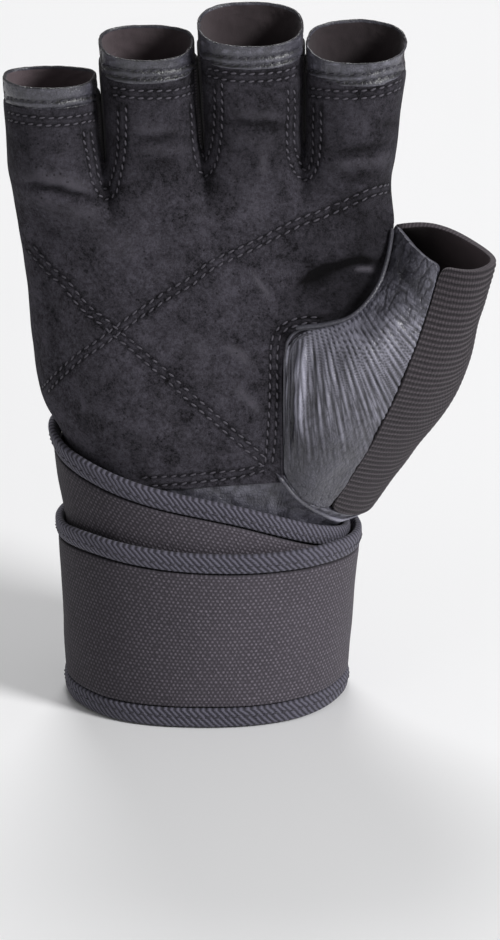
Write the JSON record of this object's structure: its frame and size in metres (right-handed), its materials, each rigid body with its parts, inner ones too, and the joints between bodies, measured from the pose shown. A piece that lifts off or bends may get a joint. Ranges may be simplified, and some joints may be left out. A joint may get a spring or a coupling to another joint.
{
  "type": "weightlifting glove",
  "caption": "Right-hand half-finger weightlifting glove with a suede palm, gathered leather thumb and wound wrist wrap.",
  "frame": {"origin": "middle of the wrist opening, level with the lower edge of the wrap, where the hand goes in", "axes": "+Z from the wrist towards the fingers, -Y out of the palm, +X towards the thumb"},
  "size_m": [0.1289, 0.0658, 0.1911],
  "materials": {
    "suede": "rough suede",
    "smooth_leather": "smooth, slightly glossy",
    "stretch_fabric": "matte knit",
    "ribbed_elastic": "ribbed, matte",
    "webbing": "coarse weave",
    "twill_tape": "twill weave"
  },
  "bodies": {
    "root": {"palm_panel": "suede", "back_panel": "stretch_fabric", "fourchette_pinky_ring": "stretch_fabric", "fourchette_ring_middle": "stretch_fabric", "fourchette_middle_index": "stretch_fabric", "finger_hem_pinky": "smooth_leather", "finger_hem_ring": "smooth_leather", "finger_hem_middle": "smooth_leather", "finger_hem_index": "smooth_leather", "thumb_leather": "smooth_leather", "thumb_knit": "ribbed_elastic", "thumb_piping": "smooth_leather", "cuff_band": "smooth_leather", "wrap_strap": "webbing", "wrap_binding_top": "twill_tape", "wrap_binding_bottom": "twill_tape", "hook_tab": "twill_tape"}
  },
  "joints": []
}
